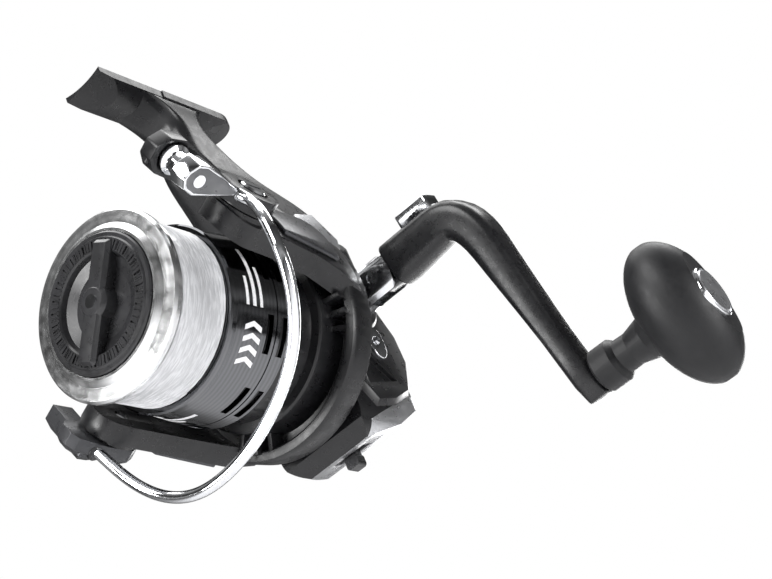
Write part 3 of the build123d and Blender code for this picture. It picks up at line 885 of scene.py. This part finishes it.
@dataclass
class Spool(Group):
    """Spool with its polished lip, wound line and printed skirt."""

    line_radius: float = 24.28 * MM
    line_start: float = -19.9 * MM
    line_pitch: float = 0.34 * MM
    line_turns: float = 46.5
    strand: float = 0.19 * MM
    skirt_front: float = -30.0 * MM
    skirt_slope: float = 0.075
    band_x: float = -29.0 * MM
    band_half: float = 3.0 * MM
    band_radius: float = 26.28 * MM
    band_starts: tuple = (-60, 60, 180)
    bars_at: float = 36
    chevron_step: float = 7
    chevron_wide: float = 3.2
    chevron_lean: float = 3.0
    film: float = 0.05 * MM
    film_lift: float = 0.06 * MM

    def dress(self) -> None:
        """Gives the CAD nodes their finishes."""
        paint(self.finishes.skirt, "spool")
        paint(self.finishes.lip, "spool_lip")
        paint(self.finishes.line, "line_winding")
        paint(self.finishes.chrome, "line_clip")
        paint(self.finishes.steel, "drag_washers", "drag_retainer")
        paint(self.finishes.felt, "drag_felts")

    def wind(self) -> None:
        """Winds the top layer of line."""
        tree = coil_tree(
            self.line_radius, self.line_pitch, self.line_turns, self.strand, 6, self.finishes.line
        )
        to_x = Matrix.Rotation(math.pi / 2, 4, "Y")
        move = Matrix.Translation((self.places.lip_x + self.line_start, 0, self.places.axis_z))
        finish_piece(tree.piece("wound_line", move @ to_x), Body.SPOOL, Slot.LINE)

    def skirt_radius(self, x: float) -> float:
        """Outer radius of the skirt at a distance from the lip."""
        return self.band_radius + (self.skirt_front - x) * self.skirt_slope

    def patch(self, corners: list, steps: int) -> tuple:
        """Curved four-sided patch of print on the skirt.

        Args:
            corners: Four (x, azimuth in degrees) corners, in order.
            steps: Divisions round the skirt.

        Returns:
            Its vertices and faces.
        """
        a, b, c, d = corners
        rows = []
        for k in range(steps + 1):
            t = k / steps
            for start, end in ((a, b), (d, c)):
                x = start[0] + (end[0] - start[0]) * t
                angle = math.radians(start[1] + (end[1] - start[1]) * t)
                rows.append(self.places.spool(x, self.skirt_radius(x) + self.film_lift, angle))
        faces = [(2 * k, 2 * k + 1, 2 * k + 3, 2 * k + 2) for k in range(steps)]
        return rows, faces

    def print_band(self) -> None:
        """Prints bars and chevrons round the front of the skirt, with no lettering."""
        verts: list = []
        faces: list = []
        middle = self.band_x
        low, high = middle - self.band_half, middle + self.band_half
        half = 0.6 * MM
        bars = ((low, low + MM, 26), (high - MM, high, 18), (middle - half, middle + half, 40))
        shapes = []
        for start in self.band_starts:
            for k in range(4):
                at = start + self.chevron_step * k
                wide = at + self.chevron_wide
                tip, tip_wide = at + self.chevron_lean, wide + self.chevron_lean
                shapes.append([(low, at), (low, wide), (middle, tip_wide), (middle, tip)])
                shapes.append([(middle, tip), (middle, tip_wide), (high, wide), (high, at)])
            begin = start + self.bars_at
            for rear, front, long in bars:
                end = begin + long
                shapes.append([(rear, begin), (rear, end), (front, end), (front, begin)])
        for corners in shapes:
            rows, quads = self.patch(corners, 8)
            shift = len(verts)
            verts += rows
            faces += [tuple(i + shift for i in quad) for quad in quads]
        mesh = bpy.data.meshes.new("skirt_print")
        mesh.from_pydata(verts, [], faces)
        mesh.materials.append(self.finishes.ink)
        carrier = new_object("skirt_print_work", mesh)
        solid = carrier.modifiers.new("film", "SOLIDIFY")
        solid.thickness = self.film
        solid.offset = 0
        finish_piece(settled(carrier, "skirt_print", Matrix.Identity(4)), Body.SPOOL, Slot.SPOOL)

    def build(self) -> None:
        """Dresses and builds the spool."""
        self.dress()
        self.wind()
        self.print_band()


# ---- drag knob ---------------------------------------------------------------------
@dataclass
class DragKnob(Group):
    """Front drag knob."""

    ribs: int = 84
    rib_radius: float = 15.7 * MM
    rib: tuple = (2.6 * MM, 0.42 * MM, 0.5 * MM)
    rib_x: float = 2.85 * MM

    def build(self) -> None:
        """Dresses the knob and sets its fine ribs."""
        paint(self.finishes.knob, "drag_knob")
        eased("drag_knob_bar", "knob_grip_bar", 0.5 * MM, self.finishes.knob, Body.DRAG, Slot.KNOB)
        paint(self.finishes.chrome, "drag_knob_pin")
        paint(self.finishes.brass, "drag_nut")
        paint(self.finishes.steel, "drag_spring")
        tree = ring_of_blocks(self.ribs, self.rib_radius, self.rib, self.finishes.knob)
        to_x = Matrix.Rotation(math.pi / 2, 4, "Y")
        move = Matrix.Translation((self.places.lip_x + self.rib_x, 0, self.places.axis_z))
        finish_piece(tree.piece("knob_ribs", move @ to_x), Body.DRAG, Slot.KNOB)


# ---- rotor and bail ----------------------------------------------------------------
@dataclass
class Rotor(Group):
    """Rotor with its arms and inner pieces."""

    def build(self) -> None:
        """Dresses the rotor."""
        eased("rotor", "rotor_cup", 0.45 * MM, self.finishes.body, Body.ROTOR, Slot.BODY)
        eased("arm_covers", "arm_cover_plates", 0.4 * MM, self.finishes.smoke, Body.ROTOR, Slot.SMOKE)
        paint(self.finishes.brass, "pinion")
        paint(self.finishes.steel, "rotor_nut")


@dataclass
class Bail(Group):
    """Bail with its lever, wire, roller and cover."""

    def plug(self) -> None:
        """Collar where the wire enters its holder."""
        end = Vector((-19.35, 5.0, -40.25)) * MM
        turn = Matrix.Rotation(math.radians(99.0), 4, "Z")
        outline = ((-1.2, 1.5), (-1.2, 2.7), (0.6, 2.7), (1.0, 2.3), (1.0, 1.5))
        profile = [(x * MM, r * MM) for x, r in outline]
        place = self.places.arm_matrix() @ Matrix.Translation(end) @ turn
        ring = spun("wire_plug_ring", profile, 40, place, self.finishes.body)
        finish_piece(ring, Body.BAIL, Slot.SMOKE)

    def facet(self) -> None:
        """Grey inlay on the roller cover's flat face."""
        outline = [(4.1, 42.9), (2.4, 45.2), (-0.4, 45.8), (-4.8, 44.9), (-12.0, 43.2), (-13.4, 42.2),
                   (-12.0, 41.3), (-4.8, 39.4), (0.0, 38.4), (3.0, 39.2), (4.4, 41.1)]
        low, high = 7.6 * MM, 8.22 * MM
        work = bmesh.new()
        ring = [work.verts.new((x * MM, low, z * MM)) for x, z in outline]
        face = work.faces.new(ring)
        top = bmesh.ops.extrude_face_region(work, geom=[face])["geom"]
        for item in top:
            if isinstance(item, bmesh.types.BMVert):
                item.co.y = high
        bmesh.ops.recalc_face_normals(work, faces=work.faces)
        mesh = mesh_of(work, "roller_cover_inlay", self.finishes.facet)
        carrier = new_object("roller_cover_inlay_work", mesh)
        bevel = carrier.modifiers.new("round", "BEVEL")
        bevel.width = 0.25 * MM
        bevel.segments = 2
        piece = settled(carrier, "roller_cover_inlay", self.places.arm_matrix())
        finish_piece(piece, Body.BAIL, Slot.SMOKE)

    def build(self) -> None:
        """Dresses and builds the bail."""
        eased("bail_lever", "bail_lever_shell", 0.6 * MM, self.finishes.body, Body.BAIL, Slot.SMOKE)
        eased("roller_cover", "roller_cone", 0.35 * MM, self.finishes.chrome, Body.BAIL, Slot.CHROME)
        eased("wire_holder", "wire_holder_cap", 0.5 * MM, self.finishes.smoke, Body.BAIL, Slot.SMOKE)
        paint(self.finishes.chrome, "bail_wire", "roller_pin", "bail_screws", "line_roller")
        self.plug()
        self.facet()


# ---- housing -----------------------------------------------------------------------
@dataclass
class Housing(Group):
    """Body casting, stem and foot, with covers and trim."""

    def screws(self) -> None:
        """Three screws that hold the cover, seen from the side away from the crank."""
        low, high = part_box("side_cover")
        face = -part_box("housing")[0].y + 0.25 * MM
        at = [(low.x + 9 * MM, high.z - 9 * MM), (high.x - 6 * MM, low.z + 12 * MM),
              (low.x + 12 * MM, low.z + 14 * MM)]
        points = [(x, z, face) for x, z in at]
        tree = screw_heads(1.9 * MM, 0.9 * MM, self.finishes.steel)
        to_y = Matrix.Rotation(math.pi / 2, 4, "X")
        finish_piece(tree.piece("side_cover_screws", to_y, points), Body.HOUSING, Slot.STEEL)

    def badge_screw(self) -> None:
        """Screw in the middle of the badge."""
        low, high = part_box("side_badge")
        centre = (low + high) / 2
        tree = screw_heads(1.3 * MM, 0.6 * MM, self.finishes.steel)
        to_y = Matrix.Rotation(-math.pi / 2, 4, "X")
        points = [(centre.x, -centre.z, high.y + 0.1 * MM)]
        finish_piece(tree.piece("badge_screw", to_y, points), Body.HOUSING, Slot.CHROME)

    def build(self) -> None:
        """Dresses and builds the housing."""
        body = self.finishes.body
        paint(body, "housing")
        eased("side_cover", "side_cover_plate", 0.4 * MM, body, Body.HOUSING, Slot.BODY)
        eased("flank_plate", "flank_trim", 0.3 * MM, self.finishes.silver, Body.HOUSING, Slot.SILVER)
        eased("bottom_cap", "bottom_cap_shell", 0.4 * MM, self.finishes.silver, Body.HOUSING, Slot.SILVER)
        eased("side_badge", "side_badge_rim", 0.3 * MM, self.finishes.chrome, Body.HOUSING, Slot.CHROME)
        paint(self.finishes.smoke, "handle_port_cap")
        paint(self.finishes.steel, "drive_bearings", "pinion_bearing", "anti_reverse_clutch")
        paint(self.finishes.steel, "crank_gear_axle", "reverse_lever_pin")
        paint(self.finishes.knob, "anti_reverse_lever")
        self.screws()
        self.badge_screw()


# ---- drive and handle --------------------------------------------------------------
@dataclass
class Crank(Group):
    """Drive train, folding crank, release button and knob."""

    arm_width: tuple = (6.5 * MM, 5.0 * MM)
    arm_depth: tuple = (7.0 * MM, 3.7 * MM)
    arm_square: float = 0.55
    arm_start: tuple = (39.0 * MM, 0.0)
    arm_corner: tuple = (65.5 * MM, 1.6 * MM)
    arm_out: float = 70.4 * MM
    arm_past: float = 6.0 * MM
    bend_share: float = 0.24
    button_out: float = 53.2 * MM
    button_top: float = 10.8 * MM
    knob_end: float = 111.9 * MM

    def arm_path(self) -> list:
        """Middle line of the arm, as points out from the body and along the crank.

        Returns:
            The points.
        """
        knob, drive = self.places.knob, self.places.drive
        length = math.hypot(knob.x - drive.x, knob.z - drive.z)
        near, corner = Vector(self.arm_start), Vector(self.arm_corner)
        far = Vector((self.arm_out, -length))
        path = [near + (corner - near) * (k / 6) for k in range(5)]
        start, end = path[-1], corner + (far - corner) * self.bend_share
        for k in range(1, 9):
            t = k / 8
            path.append(start * (1 - t) ** 2 + corner * 2 * t * (1 - t) + end * t ** 2)
        path += [end + (far - end) * (k / 6) for k in range(1, 7)]
        path.append(far + (far - end).normalized() * self.arm_past)
        return path

    def arm(self) -> None:
        """Cast crank arm: a rounded bar that bends down and narrows to the knob."""
        path = self.arm_path()
        travel = [0.0]
        for a, b in zip(path, path[1:]):
            travel.append(travel[-1] + (b - a).length)
        work = bmesh.new()
        rings = []
        around = 40
        for k, middle in enumerate(path):
            ahead = path[min(k + 1, len(path) - 1)] - path[max(k - 1, 0)]
            ahead.normalize()
            side = Vector((ahead.y, -ahead.x))
            share = travel[k] / travel[-1]
            wide = self.arm_width[0] + (self.arm_width[1] - self.arm_width[0]) * share
            deep = self.arm_depth[0] + (self.arm_depth[1] - self.arm_depth[0]) * min(1.0, share * 1.35)
            if k == len(path) - 1:
                wide, deep = wide * 0.72, deep * 0.86
            ring = []
            for j in range(around):
                turn = 2 * math.pi * j / around
                flat = self.arm_square
                u = math.copysign(abs(math.cos(turn)) ** flat, math.cos(turn)) * wide
                v = math.copysign(abs(math.sin(turn)) ** flat, math.sin(turn)) * deep
                spot = middle + side * v
                ring.append(work.verts.new((u, spot.x, spot.y)))
            rings.append(ring)
        for a, b in zip(rings, rings[1:]):
            for j in range(around):
                work.faces.new((a[j], a[(j + 1) % around], b[(j + 1) % around], b[j]))
        work.faces.new(rings[0])
        work.faces.new(rings[-1])
        tongue = bmesh.ops.create_cube(work, size=1.0)["verts"]
        for vert in tongue:
            vert.co = Vector((vert.co.x * 6.0, 36.5 + vert.co.y * 8.0, vert.co.z * 10.0)) * MM
        bmesh.ops.recalc_face_normals(work, faces=work.faces)
        carrier = new_object("crank_arm_work", mesh_of(work, "crank_arm", self.finishes.handle))
        bevel = carrier.modifiers.new("round", "BEVEL")
        bevel.width = 0.6 * MM
        bevel.segments = 3
        bevel.limit_method = "ANGLE"
        bevel.angle_limit = math.radians(50)
        piece = settled(carrier, "crank_arm", self.places.crank_matrix(), 45.0)
        finish_piece(piece, Body.HANDLE, Slot.HANDLE, "handle_arm")

    def button_trim(self) -> None:
        """Bright studs on the release button."""
        studs = grid_of_studs((5.4 * MM, 9.8 * MM), (7, 12), 0.28 * MM, self.finishes.chrome)
        move = Matrix.Translation((0, self.button_out, self.button_top))
        place = self.places.crank_matrix() @ move
        finish_piece(studs.piece("button_studs", place), Body.BUTTON, Slot.CHROME)

    def knob_ring(self) -> None:
        """Bright ring round the knob's end cap."""
        outline = ((0.0, 6.98), (0.0, 7.6), (1.0, 7.6), (1.3, 7.3), (1.3, 6.98))
        profile = [(x * MM, r * MM) for x, r in outline]
        turn = Matrix.Rotation(math.pi / 2, 4, "Z")
        centre = Matrix.Translation((self.places.knob.x, self.knob_end, self.places.knob.z))
        ring = spun("knob_cap_ring", profile, 72, centre @ turn, self.finishes.chrome)
        finish_piece(ring, Body.KNOB, Slot.CHROME)

    def build(self) -> None:
        """Dresses and builds the crank."""
        paint(self.finishes.zinc, "drive_gear", "crosswind_block")
        paint(self.finishes.knob, "crank_gear", "click_gear")
        paint(self.finishes.brass, "crank_pinion")
        paint(self.finishes.steel, "drive_shaft", "main_shaft", "fold_pin", "knob_shaft")
        paint(self.finishes.collar, "handle_knuckle")
        self.arm()
        eased("fold_button", "release_button", 0.3 * MM, self.finishes.chrome, Body.BUTTON, Slot.CHROME)
        paint(self.finishes.grip, "knob_grip")
        paint(self.finishes.bronze, "knob_sleeves")
        paint(self.finishes.silver, "knob_cap")
        self.button_trim()
        self.knob_ring()


# ---- studio ------------------------------------------------------------------------
@dataclass
class Studio:
    """Pale floor, soft lights and the camera."""

    floor_z: float = -0.42
    floor_half: float = 3.0
    eye: tuple = (0.3417, 0.2329, -0.3152)
    turns: tuple = (120.98, 21.174, 130.627)
    lens: float = 77.3
    surround: float = 0.55

    def floor(self) -> None:
        """Plain pale floor."""
        mesh = bpy.data.meshes.new("floor")
        half = self.floor_half
        corners = [(-half, -half), (half, -half), (half, half), (-half, half)]
        mesh.from_pydata([(x, y, self.floor_z) for x, y in corners], [], [(0, 1, 2, 3)])
        made = Shader("floor_paint")
        colour = made.ramp(made.noise(0.4, 2), [(0.3, (0.80, 0.80, 0.81)), (0.7, (0.84, 0.84, 0.85))])
        made.link(colour, made.shader.inputs["Base Color"])
        made.set(Roughness=0.8)
        mesh.materials.append(made.material)
        new_object("floor", mesh)

    def world(self) -> None:
        """Pale surroundings, darker in reflections than behind the reel."""
        world = bpy.data.worlds.new("studio")
        bpy.context.scene.world = world
        world.use_nodes = True
        tree = world.node_tree
        tree.nodes.clear()
        out = tree.nodes.new("ShaderNodeOutputWorld")
        mix = tree.nodes.new("ShaderNodeMixShader")
        path = tree.nodes.new("ShaderNodeLightPath")
        seen = tree.nodes.new("ShaderNodeBackground")
        seen.inputs["Color"].default_value = (1.0, 1.0, 1.0, 1)
        seen.inputs["Strength"].default_value = 1.0
        cast = tree.nodes.new("ShaderNodeBackground")
        cast.inputs["Strength"].default_value = self.surround
        coords = tree.nodes.new("ShaderNodeTexCoord")
        split = tree.nodes.new("ShaderNodeSeparateXYZ")
        tone = tree.nodes.new("ShaderNodeMapRange")
        tone.inputs["From Min"].default_value = -1.0
        ramp = tree.nodes.new("ShaderNodeValToRGB")
        stops = (
            (0.0, 0.16), (0.36, 0.05), (0.47, 0.08), (0.52, 0.75), (0.6, 0.2), (0.78, 0.06), (1.0, 0.9)
        )
        for _ in range(len(stops) - 2):
            ramp.color_ramp.elements.new(0.5)
        for element, (position, shade) in zip(ramp.color_ramp.elements, stops):
            element.position = position
            element.color = (shade, shade, shade, 1.0)
        tree.links.new(coords.outputs["Generated"], split.inputs["Vector"])
        tree.links.new(split.outputs["Z"], tone.inputs["Value"])
        tree.links.new(tone.outputs["Result"], ramp.inputs["Fac"])
        tree.links.new(ramp.outputs["Color"], cast.inputs["Color"])
        tree.links.new(path.outputs["Is Camera Ray"], mix.inputs[0])
        tree.links.new(cast.outputs[0], mix.inputs[1])
        tree.links.new(seen.outputs[0], mix.inputs[2])
        tree.links.new(mix.outputs[0], out.inputs["Surface"])

    def lamp(self, name: str, place: Vector, aim: Vector, size: float, power: float) -> None:
        """Soft square lamp.

        Args:
            name: Its name.
            place: Where it stands.
            aim: What it points at.
            size: Its side.
            power: Its power, in watts.
        """
        data = bpy.data.lights.new(name, "AREA")
        data.size = size
        data.energy = power
        made = bpy.data.objects.new(name, data)
        bpy.context.scene.collection.objects.link(made)
        made.location = place
        made.rotation_mode = "QUATERNION"
        made.rotation_quaternion = (aim - place).to_track_quat("-Z", "Y")

    def camera(self) -> Matrix:
        """Adds the camera.

        Returns:
            Its rotation.
        """
        data = bpy.data.cameras.new("camera")
        data.lens = self.lens
        data.sensor_width = 36.0
        data.clip_start = 0.01
        made = bpy.data.objects.new("camera", data)
        bpy.context.scene.collection.objects.link(made)
        made.location = self.eye
        made.rotation_euler = [math.radians(a) for a in self.turns]
        bpy.context.scene.camera = made
        return made.rotation_euler.to_matrix()

    def build(self) -> None:
        """Sets up the studio."""
        self.floor()
        self.world()
        turn = self.camera()
        centre = sum(CAD_BOX, Vector()) / 2
        lamps = (
            ("key", (-0.6, 0.5, 0.4), 0.5, 7.0),
            ("front", (-0.75, -0.1, 0.35), 0.35, 4.5),
            ("side", (0.62, 0.35, 0.45), 0.3, 3.6),
            ("under", (0.2, -0.7, 0.3), 0.25, 1.6),
            ("rim", (0.2, 0.6, -0.5), 0.4, 2.6),
            ("back", (0.3, -0.1, -0.75), 0.5, 5.0),
        )
        for name, offset, size, power in lamps:
            self.lamp(name, centre + turn @ Vector(offset), centre, size, power)
        self.lamp("top", centre + Vector((0.0, 0.0, 0.9)), centre, 0.8, 6.0)
        bpy.context.scene.view_settings.view_transform = "Standard"


def main() -> None:
    """Builds the reel and its studio in order."""
    logging.basicConfig(level=logging.INFO, format="%(message)s")
    places = Places.from_frame()
    finishes = Finishes(places)
    for part in (Spool, DragKnob, Rotor, Bail, Housing, Crank):
        part(places, finishes).build()
        log.info("built %s", part.__name__)
    Studio().build()


if __name__ == "__main__":
    main()
